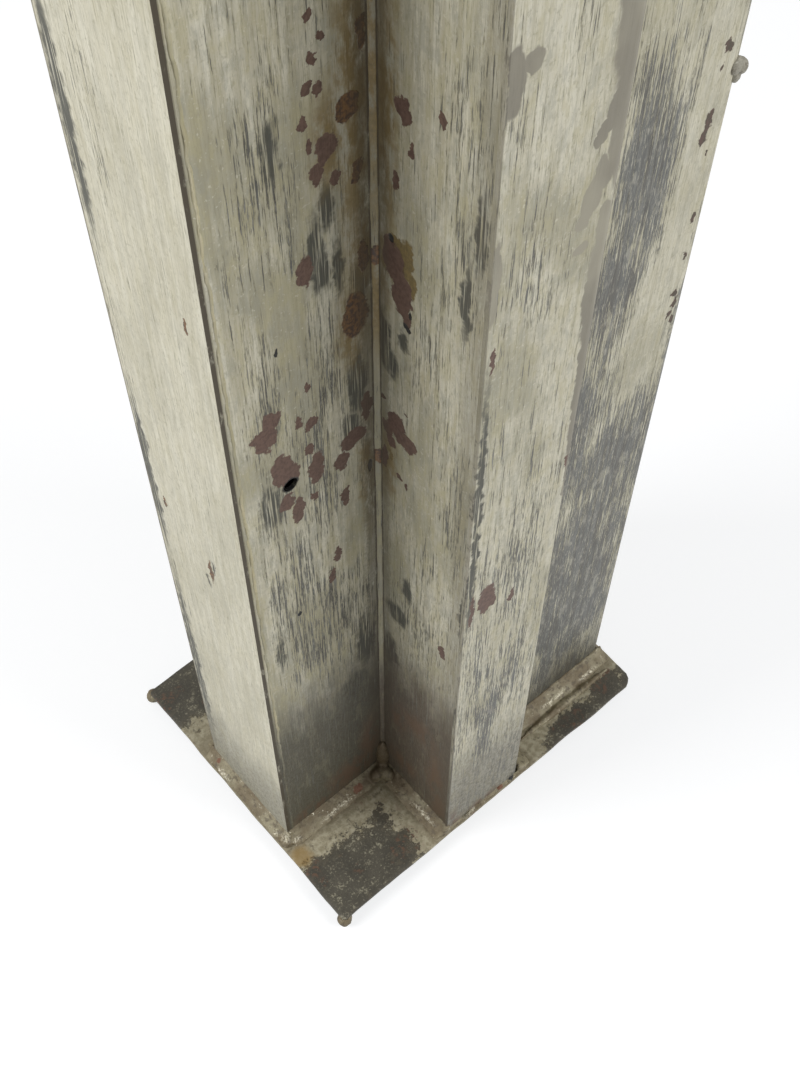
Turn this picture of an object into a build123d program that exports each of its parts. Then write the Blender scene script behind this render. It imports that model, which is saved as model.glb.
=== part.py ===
from build123d import *
import math
import os

# Model signal mast: a hollow column of thin soldered sheet on a flat base plate.
# Millimetres. X runs along the base plate, -Y is the front, +Z is up.
# The origin is on the ground, midway between the four corner feet.

# ---------------------------------------------------------------- driving sizes
MAST_HEIGHT = 420.0          # ground to the top face of the cap

PLATE_LENGTH = 101.2         # base plate, along X
PLATE_WIDTH = 82.0           # base plate, along Y
PLATE_THICKNESS = 1.0
PLATE_CORNER_RADIUS = 1.0    # three corners are only just eased
WORN_CORNER_RADIUS = 3.5     # the front right corner is rounder

FOOT_DIAMETER = 4.0          # solder ball under each plate corner
FOOT_INSET = 0.8             # ball centre to the plate's edges
WORN_FOOT_INSET = 4.8        # the foot under the worn corner sits further in
PLATE_CLEARANCE = 3.2        # ground to the underside of the plate

SHEET = 0.8                  # thickness of every wall of the column
FOLD_RADIUS = 2.5            # outside radius where a sheet is folded
LIP = 0.2                    # how far a covering sheet's edge stands proud

LEFT_ARM_WIDTH = 30.0        # across the left arm, along Y
LEFT_ARM_DEPTH = 31.8        # end strip to the recess corner, along X
LEFT_ARM_GAP = 3.0           # end strip to the plate's left edge
CROSS_ARM_WIDTH = 25.0       # across the front and rear arms, along X
CROSS_ARM_GAP = 0.8          # arm face to the plate's front or rear edge
RIGHT_BOX_WIDTH = 57.2       # across the right box, along Y
RIGHT_BOX_GAP = 1.2          # right box to the plate's right edge

CAP_THICKNESS = 1.0
CAP_OVERHANG = 0.3           # cap edge beyond the column's faces
TAB_LENGTH = 10.0            # bent tabs that centre the cap, along the wall
TAB_DROP = 6.0
TAB_THICKNESS = 0.8
TAB_CLEARANCE = 1.7          # front and rear tabs to the stiffener beside them

DIAPHRAGM_THICKNESS = 0.8
DIAPHRAGM_COUNT = 3
WIRE_HOLE_DIAMETER = 12.0    # hole through each diaphragm for the lamp wire
STIFFENER_LEG = 5.0          # inside angle strips behind the butt joints
STIFFENER_THICKNESS = 0.6
STRAP_WIDTH = 8.0            # strap behind the right box's end seam
STRAP_THICKNESS = 0.6

CORNER_SOLDER_LEG = 1.2      # solder run up each inside corner
FOOT_SOLDER_LEG = 4.0        # fillet between column and plate
FOOT_SOLDER_RISE = 3.0
NARROW_SOLDER_RISE = 1.6     # where the plate leaves little room
TOE_CLEARANCE = 0.15         # solder toe back from the plate's edge

SIDE_HOLE_DIAMETER = 3.0     # drilled through the left arm's front panel
SIDE_HOLE_HEIGHT = 155.0     # above the ground
SIDE_HOLE_FROM_END = 12.0    # hole axis to the outside of the end strip

DRIP_DIAMETER = 3.0          # frozen solder bead on the right box's front fold
DRIP_HEIGHT = 208.0

# ---------------------------------------------------------------- worked-out places
PLATE_TOP = PLATE_CLEARANCE + PLATE_THICKNESS
CAP_UNDERSIDE = MAST_HEIGHT - CAP_THICKNESS
WALL_HEIGHT = CAP_UNDERSIDE - PLATE_TOP

X_LEFT = -PLATE_LENGTH / 2 + LEFT_ARM_GAP         # outside of the left end strip
X_CORE_LEFT = X_LEFT + LEFT_ARM_DEPTH             # left side of the front and rear arms
X_CORE_RIGHT = X_CORE_LEFT + CROSS_ARM_WIDTH      # right side of the front and rear arms
X_RIGHT = PLATE_LENGTH / 2 - RIGHT_BOX_GAP        # outside of the right box
Y_ARM = LEFT_ARM_WIDTH / 2                        # half the left arm
Y_CROSS = PLATE_WIDTH / 2 - CROSS_ARM_GAP         # face of the front or rear arm
Y_BOX = RIGHT_BOX_WIDTH / 2                       # half the right box

SIDES = {"front": -1, "rear": 1}                  # each side and the sign of its Y

os.makedirs("parts", exist_ok=True)


def save(node, *solids):
    """Write one node: a single solid, or a group of separate solids."""
    if len(solids) == 1:
        shape = solids[0]
    else:
        shape = Compound(children=list(solids))
    shape.label = node
    export_step(shape, f"parts/{node}.step")


def block(x_range, y_range, z_range):
    """A box between three pairs of limits, given in any order."""
    low = [min(pair) for pair in (x_range, y_range, z_range)]
    high = [max(pair) for pair in (x_range, y_range, z_range)]
    sizes = [b - a for a, b in zip(low, high)]
    box = Box(*sizes, align=(Align.MIN, Align.MIN, Align.MIN))
    return (Pos(*low) * box).solid()


def wall(x_range, y_range):
    """A flat sheet standing on the plate and reaching the cap."""
    return block(x_range, y_range, (PLATE_TOP, CAP_UNDERSIDE))


def folded_sheet(points, folds, closed_side):
    """A sheet bent along a path of outside points, standing on the plate.

    points are the outside face's corners, folds are the indexes of the corners that
    are rounded, and closed_side tells on which side of the path the thickness lies.
    """
    outside = Polyline(*points)
    corners = [outside.vertices().sort_by_distance(points[i])[0] for i in folds]
    rounded = fillet(corners, FOLD_RADIUS)
    section = offset(rounded, amount=SHEET, side=closed_side, closed=True)
    face = make_face(section.edges())
    solid = extrude(face, amount=WALL_HEIGHT, dir=(0, 0, 1)).solid()
    return Pos(0, 0, PLATE_TOP) * solid


def solder_fillet(start, end, outward, leg, rise, start_mitre=0.0, end_mitre=0.0):
    """A wedge of solder along one face of the column, from start to end.

    outward is the face's normal. A mitre shortens the toe where the next fillet of an
    inside corner meets this one, so the two share one slanted face.
    """
    along = (Vector(*end) - Vector(*start)).normalized()
    normal = Vector(*outward)
    lift = Vector(0, 0, rise)
    base = Vector(0, 0, PLATE_TOP)
    heel_a = Vector(*start) + base
    heel_b = Vector(*end) + base
    toe_a = heel_a + normal * leg + along * start_mitre
    toe_b = heel_b + normal * leg - along * end_mitre
    top_a = heel_a + lift
    top_b = heel_b + lift
    loops = [
        (heel_a, heel_b, toe_b, toe_a),
        (heel_a, heel_b, top_b, top_a),
        (toe_a, toe_b, top_b, top_a),
        (heel_a, toe_a, top_a),
        (heel_b, toe_b, top_b),
    ]
    faces = [Face(Wire.make_polygon(loop, close=True)) for loop in loops]
    return Solid(Shell(faces))


def corner_solder(x, y, x_sign, y_sign):
    """A thin run of solder up an inside corner, above the foot fillets."""
    leg = CORNER_SOLDER_LEG
    corner = Vector(x, y)
    triangle = Face(Wire.make_polygon([
        corner,
        corner + Vector(x_sign * leg, 0),
        corner + Vector(0, y_sign * leg),
    ], close=True))
    start = PLATE_TOP + FOOT_SOLDER_RISE
    run = extrude(triangle, amount=CAP_UNDERSIDE - start, dir=(0, 0, 1)).solid()
    return Pos(0, 0, start) * run


def stiffener(x, y, x_sign, y_sign):
    """An angle strip inside a butt-jointed corner; x and y are the inside corner."""
    leg = STIFFENER_LEG
    thick = STIFFENER_THICKNESS
    flange_x = wall((x, x + x_sign * leg), (y, y + y_sign * thick))
    flange_y = wall((x, x + x_sign * thick), (y, y + y_sign * leg))
    return (flange_x + flange_y).solid()


# ---------------------------------------------------------------- base plate and feet
plate = block(
    (-PLATE_LENGTH / 2, PLATE_LENGTH / 2),
    (-PLATE_WIDTH / 2, PLATE_WIDTH / 2),
    (PLATE_CLEARANCE, PLATE_TOP),
)
upright_edges = plate.edges().filter_by(Axis.Z)
worn_corner = (PLATE_LENGTH / 2, -PLATE_WIDTH / 2, PLATE_CLEARANCE)
ordered_edges = upright_edges.sort_by_distance(worn_corner)
plate = plate.fillet(PLATE_CORNER_RADIUS, ordered_edges[1:])
worn_edge = plate.edges().filter_by(Axis.Z).sort_by_distance(worn_corner)[0]
plate = plate.fillet(WORN_CORNER_RADIUS, [worn_edge])
save("base_plate", plate)

feet = []
for x_sign in (-1, 1):
    for y_sign in (-1, 1):
        under_worn_corner = x_sign > 0 and y_sign < 0
        inset = WORN_FOOT_INSET if under_worn_corner else FOOT_INSET
        ball = Pos(
            x_sign * (PLATE_LENGTH / 2 - inset),
            y_sign * (PLATE_WIDTH / 2 - inset),
            FOOT_DIAMETER / 2,
        ) * Sphere(FOOT_DIAMETER / 2)
        cut = split(ball, bisect_by=Plane.XY.offset(PLATE_CLEARANCE), keep=Keep.BOTTOM)
        feet.append(cut.solid())
save("corner_feet", *feet)

# ---------------------------------------------------------------- left arm
save("left_arm_end_strip", wall((X_LEFT, X_LEFT + SHEET), (-Y_ARM - LIP, Y_ARM + LIP)))

for side, sign in SIDES.items():
    panel = wall((X_LEFT + SHEET, X_CORE_LEFT), (sign * Y_ARM, sign * (Y_ARM - SHEET)))
    if side == "front":
        drill = Pos(X_LEFT + SIDE_HOLE_FROM_END, sign * Y_ARM, SIDE_HOLE_HEIGHT)
        drill = drill * Rot(90, 0, 0) * Cylinder(SIDE_HOLE_DIAMETER / 2, 4 * SHEET)
        panel = (panel - drill).solid()
    save(f"left_arm_{side}_panel", panel)

# ---------------------------------------------------------------- front and rear arms
for side, sign in SIDES.items():
    save(f"{side}_arm_left_panel", wall(
        (X_CORE_LEFT, X_CORE_LEFT + SHEET),
        (sign * (Y_ARM - SHEET), sign * (Y_CROSS - SHEET)),
    ))
    path = [
        (X_CORE_LEFT - LIP, sign * Y_CROSS),
        (X_CORE_RIGHT, sign * Y_CROSS),
        (X_CORE_RIGHT, sign * (Y_BOX - SHEET)),
    ]
    inside = Side.LEFT if sign < 0 else Side.RIGHT
    save(f"{side}_arm_angle", folded_sheet(path, [1], inside))

# ---------------------------------------------------------------- right box
# Two angles meet in a butt seam down the middle of the end, with a strap behind it.
box_angles = {}
for side, sign in SIDES.items():
    path = [
        (X_CORE_RIGHT, sign * Y_BOX),
        (X_RIGHT, sign * Y_BOX),
        (X_RIGHT, 0),
    ]
    inside = Side.LEFT if sign < 0 else Side.RIGHT
    box_angles[side] = folded_sheet(path, [1], inside)
    save(f"right_box_{side}_angle", box_angles[side])

seam_strap = block(
    (X_RIGHT - SHEET - STRAP_THICKNESS, X_RIGHT - SHEET),
    (-STRAP_WIDTH / 2, STRAP_WIDTH / 2),
    (PLATE_TOP, CAP_UNDERSIDE - TAB_DROP),
)
save("right_box_seam_strap", seam_strap)

# ---------------------------------------------------------------- inside: stiffeners
angles = {}
for side, sign in SIDES.items():
    angles[f"left_arm_{side}_stiffener"] = stiffener(
        X_LEFT + SHEET, sign * (Y_ARM - SHEET), 1, -sign)
    angles[f"{side}_arm_stiffener"] = stiffener(
        X_CORE_LEFT + SHEET, sign * (Y_CROSS - SHEET), 1, -sign)
for node, angle in angles.items():
    save(node, angle)

# ---------------------------------------------------------------- inside: diaphragms
half_box = Y_BOX - SHEET
half_arm = Y_ARM - SHEET
half_cross = Y_CROSS - SHEET
relief_side = math.sqrt(2) * FOLD_RADIUS           # cuts each corner back past its fold
arm_part = [(X_LEFT + SHEET, X_CORE_LEFT + SHEET), (-half_arm, half_arm)]
cross_part = [(X_CORE_LEFT + SHEET, X_CORE_RIGHT - SHEET), (-half_cross, half_cross)]
box_part = [(X_CORE_RIGHT - SHEET, X_RIGHT - SHEET), (-half_box, half_box)]
centre_x = (X_CORE_LEFT + X_CORE_RIGHT) / 2
for index, name in enumerate(["lower", "middle", "upper"][:DIAPHRAGM_COUNT]):
    bottom = PLATE_TOP + WALL_HEIGHT * (index + 1) / (DIAPHRAGM_COUNT + 1)
    z_range = (bottom, bottom + DIAPHRAGM_THICKNESS)
    sheet = block(*arm_part, z_range) + block(*cross_part, z_range) + block(*box_part, z_range)
    for x, y in [(X_CORE_RIGHT - SHEET, half_cross), (X_RIGHT - SHEET, half_box)]:
        for sign in SIDES.values():
            relief = Pos(x, sign * y, bottom) * Rot(0, 0, 45) * Box(
                relief_side, relief_side, 4 * DIAPHRAGM_THICKNESS)
            sheet -= relief
    for piece in [*angles.values(), seam_strap]:
        sheet -= piece
    sheet -= Pos(centre_x, 0, bottom) * Cylinder(WIRE_HOLE_DIAMETER / 2, 4 * DIAPHRAGM_THICKNESS)
    save(f"{name}_diaphragm", sheet.solid())

# ---------------------------------------------------------------- solder up the corners
for side, sign in SIDES.items():
    save(f"corner_solder_{side}_left", corner_solder(X_CORE_LEFT, sign * Y_ARM, -1, sign))
    save(f"corner_solder_{side}_right", corner_solder(X_CORE_RIGHT, sign * Y_BOX, 1, sign))

# ---------------------------------------------------------------- solder round the foot
left_leg = LEFT_ARM_GAP - TOE_CLEARANCE
cross_leg = CROSS_ARM_GAP - TOE_CLEARANCE
right_leg = RIGHT_BOX_GAP - TOE_CLEARANCE

save("foot_solder_left_arm", *[
    solder_fillet((X_LEFT, -Y_ARM), (X_LEFT, Y_ARM), (-1, 0), left_leg, FOOT_SOLDER_RISE),
    *[solder_fillet((X_LEFT + SHEET, sign * Y_ARM), (X_CORE_LEFT, sign * Y_ARM), (0, sign),
                    FOOT_SOLDER_LEG, FOOT_SOLDER_RISE, end_mitre=FOOT_SOLDER_LEG)
      for sign in SIDES.values()],
])
for side, sign in SIDES.items():
    save(f"foot_solder_{side}_arm", *[
        solder_fillet((X_CORE_LEFT, sign * (Y_CROSS - SHEET)), (X_CORE_LEFT, sign * Y_ARM), (-1, 0),
                      FOOT_SOLDER_LEG, FOOT_SOLDER_RISE, end_mitre=FOOT_SOLDER_LEG),
        solder_fillet((X_CORE_LEFT, sign * Y_CROSS), (X_CORE_RIGHT - FOLD_RADIUS, sign * Y_CROSS),
                      (0, sign), cross_leg, NARROW_SOLDER_RISE),
        solder_fillet((X_CORE_RIGHT, sign * (Y_CROSS - FOLD_RADIUS)), (X_CORE_RIGHT, sign * Y_BOX),
                      (1, 0), FOOT_SOLDER_LEG, FOOT_SOLDER_RISE, end_mitre=FOOT_SOLDER_LEG),
    ])
save("foot_solder_right_box", *[
    solder_fillet((X_RIGHT, -Y_BOX + FOLD_RADIUS), (X_RIGHT, Y_BOX - FOLD_RADIUS), (1, 0),
                  right_leg, NARROW_SOLDER_RISE),
    *[solder_fillet((X_RIGHT - FOLD_RADIUS, sign * Y_BOX), (X_CORE_RIGHT, sign * Y_BOX), (0, sign),
                    FOOT_SOLDER_LEG, FOOT_SOLDER_RISE, end_mitre=FOOT_SOLDER_LEG)
      for sign in SIDES.values()],
])

# ---------------------------------------------------------------- solder drip
# A ball that sits on the fold; the part of it beyond the sheet's outside is the bead.
fold_centre = Vector(X_RIGHT - FOLD_RADIUS, -Y_BOX + FOLD_RADIUS, DRIP_HEIGHT)
fold_outward = Vector(1, -1, 0).normalized()
ball = Pos(*(fold_centre + fold_outward * FOLD_RADIUS)) * Sphere(DRIP_DIAMETER / 2)
pieces = (ball - box_angles["front"]).solids()
save("solder_drip", pieces.sort_by(Axis((0, 0, 0), fold_outward))[-1])

# ---------------------------------------------------------------- top cap and its tabs
grow = CAP_OVERHANG
cap_parts = [
    [(X_LEFT - grow, X_CORE_RIGHT), (-Y_ARM - grow - LIP, Y_ARM + grow + LIP)],
    [(X_CORE_LEFT - grow - LIP, X_CORE_RIGHT + grow), (-Y_CROSS - grow, Y_CROSS + grow)],
    [(X_CORE_RIGHT - SHEET, X_RIGHT + grow), (-Y_BOX - grow, Y_BOX + grow)],
]
cap = Part()
for x_range, y_range in cap_parts:
    cap += block(x_range, y_range, (CAP_UNDERSIDE, MAST_HEIGHT))
save("top_cap", cap.solid())

tab_z = (CAP_UNDERSIDE - TAB_DROP, CAP_UNDERSIDE)
half_tab = TAB_LENGTH / 2
tabs = [
    block((X_LEFT + SHEET, X_LEFT + SHEET + TAB_THICKNESS), (-half_tab, half_tab), tab_z),
    block((X_RIGHT - SHEET - TAB_THICKNESS, X_RIGHT - SHEET), (-half_tab, half_tab), tab_z),
]
tab_start = X_CORE_LEFT + SHEET + STIFFENER_LEG + TAB_CLEARANCE
for sign in SIDES.values():
    tabs.append(block(
        (tab_start, tab_start + TAB_LENGTH),
        (sign * half_cross, sign * (half_cross - TAB_THICKNESS)),
        tab_z,
    ))
save("cap_locating_tabs", *tabs)

print("walls", round(WALL_HEIGHT, 1), "mm tall; section", round(X_RIGHT - X_LEFT, 1), "by",
      round(2 * Y_CROSS, 1), "mm")
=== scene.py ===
# %% [markdown]
# # A model signal mast in soldered sheet steel
# The mast is a hollow column with a cross-shaped section: a left arm, a front arm, a rear arm
# and a wide box on the right. Thin sheets are folded, soldered along their corners, run down
# to a flat base plate and painted a thin cream that years of handling have scrubbed through.
# The first cell loads the measured frame, which stays exactly as it is, and keeps its box.

# %% Load the frame
import math

import bpy
from mathutils import Euler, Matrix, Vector


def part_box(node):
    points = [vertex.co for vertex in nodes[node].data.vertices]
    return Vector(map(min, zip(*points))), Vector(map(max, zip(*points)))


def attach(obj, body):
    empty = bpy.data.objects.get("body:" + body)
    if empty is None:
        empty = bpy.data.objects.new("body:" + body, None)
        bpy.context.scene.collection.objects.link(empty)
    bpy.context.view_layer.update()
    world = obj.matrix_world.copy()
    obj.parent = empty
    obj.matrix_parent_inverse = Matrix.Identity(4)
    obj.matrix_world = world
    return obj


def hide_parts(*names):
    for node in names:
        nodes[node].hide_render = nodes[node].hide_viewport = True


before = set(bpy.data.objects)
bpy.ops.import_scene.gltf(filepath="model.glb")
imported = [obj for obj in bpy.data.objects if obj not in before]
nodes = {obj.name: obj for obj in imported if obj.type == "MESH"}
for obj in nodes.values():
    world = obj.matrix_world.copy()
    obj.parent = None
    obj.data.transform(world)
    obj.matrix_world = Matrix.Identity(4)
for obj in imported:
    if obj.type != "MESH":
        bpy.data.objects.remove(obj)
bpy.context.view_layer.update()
print("nodes in the frame:", len(nodes))

# %% [markdown]
# ## Sizes come from the frame
# Everything added later has to sit on the measured pieces, so its place is read from their
# boxes. The mast is only a hand's length, so this lesson thinks in millimetres and turns
# them into Blender's metres at the last moment.

# %% Read the main sizes
MM = 0.001


def span(node):
    """Lowest and highest corner of a frame node, in millimetres."""
    low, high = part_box(node)
    return [v / MM for v in low], [v / MM for v in high]


plate_low, plate_high = span("base_plate")
strip_low = span("left_arm_end_strip")[0]
arm_low, arm_high = span("left_arm_front_panel")
cross_low = span("front_arm_angle")[0]
cross_panel_low = span("front_arm_left_panel")[0]
box_low, box_high = span("right_box_front_angle")
drip_low, drip_high = span("solder_drip")

PLATE_TOP = plate_high[2]
COLUMN_TOP = arm_high[2]
X_STRIP = strip_low[0]
X_CORNER = cross_panel_low[0]
X_STEP = box_low[0]
X_END = box_high[0]
Y_ARM = -arm_low[1]
Y_CROSS = -cross_low[1]
Y_BOX = -box_low[1]
print("plate top", round(PLATE_TOP, 2), "column top", round(COLUMN_TOP, 2))
print("x of the faces", [round(v, 1) for v in (X_STRIP, X_CORNER, X_STEP, X_END)])
print("y of the faces", [round(v, 1) for v in (Y_ARM, Y_CROSS, Y_BOX)])

# %% [markdown]
# ## Camera
# The mast is looked down on from close by, so its upright edges spread towards the viewer
# and the top runs out of the picture. The lens is a plain one: a 52 mm lens on a 36 mm wide
# sensor, with the long side of the picture upright.

# %% Set the camera
CAMERA_PLACE = (-117.37, -138.07, 378.16)
CAMERA_HEADING = 49.02
CAMERA_PITCH = 58.5
CAMERA_ROLL = 0.006
CAMERA_LENS = 51.96
SENSOR = 36.0

scene = bpy.context.scene
camera_data = bpy.data.cameras.new("view_camera")
camera_data.lens = CAMERA_LENS
camera_data.sensor_fit = "VERTICAL"
camera_data.sensor_height = SENSOR
camera_data.sensor_width = SENSOR
camera_data.clip_start = 0.01
camera_data.clip_end = 20.0
camera = bpy.data.objects.new("view_camera", camera_data)
scene.collection.objects.link(camera)
heading = math.radians(CAMERA_HEADING)
pitch = math.radians(CAMERA_PITCH)
forward = Vector((
    math.cos(heading) * math.cos(pitch),
    math.sin(heading) * math.cos(pitch),
    -math.sin(pitch),
))
turn = forward.to_track_quat("-Z", "Y").to_matrix().to_4x4()
roll = Euler((0.0, 0.0, CAMERA_ROLL)).to_matrix().to_4x4()
camera.matrix_world = turn @ roll
camera.location = Vector(CAMERA_PLACE) * MM
scene.camera = camera
scene.view_settings.view_transform = "Standard"
print("camera looks along", [round(v, 3) for v in forward])

# %% [markdown]
# ## Light and floor
# Soft studio light: a pale world all round, one large panel high on the left and one on the
# right. Neither faces the recess between the arms, so the recess falls quieter than the
# arms' ends, as it does on the bench. The floor is a white sheet that keeps a faint shadow.

# %% World light
WORLD_LEVEL = 0.27
LEFT_PANEL_POWER = 6.4
RIGHT_PANEL_POWER = 5.2

WHITE = (1, 1, 1, 1)


def two_faced(tree, output, unseen, seen):
    """Shows one shader to the camera, mirrors and glass, and another to bounced light."""
    rays = tree.nodes.new("ShaderNodeLightPath")
    direct = rays.outputs["Is Camera Ray"]
    for kind in ("Is Glossy Ray", "Is Transmission Ray"):
        either = tree.nodes.new("ShaderNodeMath")
        either.operation = "MAXIMUM"
        tree.links.new(direct, either.inputs[0])
        tree.links.new(rays.outputs[kind], either.inputs[1])
        direct = either.outputs[0]
    choose = tree.nodes.new("ShaderNodeMixShader")
    tree.links.new(direct, choose.inputs[0])
    tree.links.new(unseen.outputs[0], choose.inputs[1])
    tree.links.new(seen.outputs[0], choose.inputs[2])
    tree.links.new(choose.outputs[0], tree.nodes.new(output).inputs["Surface"])


world = bpy.data.worlds.new("studio")
scene.world = world
world.use_nodes = True
world.node_tree.nodes.clear()
glow = world.node_tree.nodes.new("ShaderNodeBackground")
glow.inputs["Color"].default_value = WHITE
glow.inputs["Strength"].default_value = WORLD_LEVEL
backdrop = world.node_tree.nodes.new("ShaderNodeBackground")
backdrop.inputs["Color"].default_value = WHITE
backdrop.inputs["Strength"].default_value = 1.0
two_faced(world.node_tree, "ShaderNodeOutputWorld", glow, backdrop)
print("world level", WORLD_LEVEL)

# %% [markdown]
# ## Two panels
# Each panel is a square of soft light aimed at the mast, one from each side. A sun lamp
# would cast hard-edged shadows, and the world alone would leave the arms without a light
# and a dark side.

# %% Lamp panels
def lamp_panel(name, place, aim, size, power):
    """A square area lamp in millimetres, pointed at aim."""
    data = bpy.data.lights.new(name, "AREA")
    data.shape = "SQUARE"
    data.size = size * MM
    data.energy = power
    lamp = bpy.data.objects.new(name, data)
    scene.collection.objects.link(lamp)
    lamp.location = Vector(place) * MM
    towards = Vector(aim) - Vector(place)
    lamp.rotation_euler = towards.to_track_quat("-Z", "Y").to_euler()
    print(name, "at", place, "power", power)
    return lamp


lamp_panel("left_panel", (-700.0, 330.0, 620.0), (0.0, 0.0, 150.0), 500.0, LEFT_PANEL_POWER)
lamp_panel("right_panel", (420.0, -700.0, 620.0), (0.0, 0.0, 150.0), 500.0, RIGHT_PANEL_POWER)

# %% [markdown]
# ## The white floor
# A camera ray sees a floor that glows a little and is only partly lit, which makes it nearly
# white with a soft shadow. Every other ray sees a plain white sheet, which throws light back
# up into the foot of the mast.

# %% Floor
FLOOR_SIZE = 6000.0
FLOOR_GLOW = 0.68
FLOOR_LIT = 0.42
FLOOR_BOUNCE = 0.75

bpy.ops.object.select_all(action="DESELECT")
bpy.ops.mesh.primitive_plane_add(size=FLOOR_SIZE * MM, location=(0.0, 0.0, 0.0))
floor = bpy.context.object
floor.name = "floor"
floor_paint = bpy.data.materials.new("floor_white")
floor_paint.use_nodes = True
floor_tree = floor_paint.node_tree
floor_tree.nodes.clear()
sheet = floor_tree.nodes.new("ShaderNodeBsdfDiffuse")
sheet.inputs["Color"].default_value = (FLOOR_BOUNCE, FLOOR_BOUNCE, FLOOR_BOUNCE, 1.0)
lit = floor_tree.nodes.new("ShaderNodeBsdfDiffuse")
lit.inputs["Color"].default_value = (FLOOR_LIT, FLOOR_LIT, FLOOR_LIT * 1.02, 1.0)
shine = floor_tree.nodes.new("ShaderNodeEmission")
shine.inputs["Color"].default_value = (0.985, 0.995, 1, 1)
shine.inputs["Strength"].default_value = FLOOR_GLOW
both = floor_tree.nodes.new("ShaderNodeAddShader")
floor_tree.links.new(lit.outputs[0], both.inputs[0])
floor_tree.links.new(shine.outputs[0], both.inputs[1])
two_faced(floor_tree, "ShaderNodeOutputMaterial", sheet, both)
floor.data.materials.append(floor_paint)
print("floor", FLOOR_SIZE, "mm wide")

# %% [markdown]
# ## A small kit for finishes
# Every finish here is a stack of thin layers over steel, cut through by brush marks, chips
# and rubbed patches. A material built by hand would need the same dozen nodes again and
# again, so this little kit adds them by name. All lengths are millimetres on the mast, read
# from Object coordinates, so a mark stays where it is put.

# %% Kit: adding nodes
def tint(red, green, blue):
    """A colour given on the usual 0 to 255 screen scale, as Blender's linear colour."""
    values = []
    for part in (red, green, blue):
        part = part / 255.0
        if part <= 0.04045:
            values.append(part / 12.92)
        else:
            values.append(((part + 0.055) / 1.055) ** 2.4)
    return (values[0], values[1], values[2], 1.0)


class Nodes:
    """Collects the nodes of one material. Lengths are in millimetres on the mast."""

    def __init__(self, name):
        self.material = bpy.data.materials.new(name)
        self.material.use_nodes = True
        self.tree = self.material.node_tree
        self.tree.nodes.clear()
        self.seed = 0.0
        coords = self.node("ShaderNodeTexCoord")
        scaled = self.node("ShaderNodeVectorMath", operation="SCALE")
        self.tree.links.new(coords.outputs["Object"], scaled.inputs[0])
        scaled.inputs["Scale"].default_value = 1.0 / MM
        self.place = scaled.outputs[0]
        apart = self.node("ShaderNodeSeparateXYZ")
        self.tree.links.new(self.place, apart.inputs[0])
        self.x, self.y, self.z = apart.outputs[0], apart.outputs[1], apart.outputs[2]

    def node(self, kind, **settings):
        made = self.tree.nodes.new(kind)
        for key, value in settings.items():
            setattr(made, key, value)
        return made

    def feed(self, value, socket):
        """Links a socket, or writes a plain number, vector or colour."""
        if isinstance(value, bpy.types.NodeSocket):
            self.tree.links.new(value, socket)
        else:
            socket.default_value = value

    def math(self, operation, first, second=None, third=None):
        made = self.node("ShaderNodeMath", operation=operation)
        for index, value in enumerate((first, second, third)):
            if value is not None:
                self.feed(value, made.inputs[index])
        return made.outputs[0]

    def vector(self, operation, first, second=None, third=None):
        made = self.node("ShaderNodeVectorMath", operation=operation)
        for index, value in enumerate((first, second, third)):
            if value is not None:
                self.feed(value, made.inputs[index])
        if operation in ("LENGTH", "DISTANCE", "DOT_PRODUCT"):
            return made.outputs["Value"]
        return made.outputs[0]

    def ease(self, value, low, high, weight=1.0):
        """0 below low and weight above high, with a soft step between."""
        made = self.node("ShaderNodeMapRange", interpolation_type="SMOOTHSTEP")
        self.feed(value, made.inputs["Value"])
        self.feed(low, made.inputs["From Min"])
        self.feed(high, made.inputs["From Max"])
        made.inputs["To Min"].default_value = 0.0
        made.inputs["To Max"].default_value = weight
        return made.outputs[0]

    def blend(self, amount, under, over):
        made = self.node("ShaderNodeMix", data_type="RGBA")
        self.feed(amount, made.inputs["Factor"])
        self.feed(under, made.inputs[6])
        self.feed(over, made.inputs[7])
        return made.outputs[2]


print("node kit ready")

# %% [markdown]
# ## Noise, spots and the finished surface
# Noise is stretched along the brush, and each layer reads its own stretch of it, so no two
# layers match. Marks that have a place of their own are ellipses with a torn outline. A
# picture could hold them too, but it would blur close up and need its own mapping.


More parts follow.
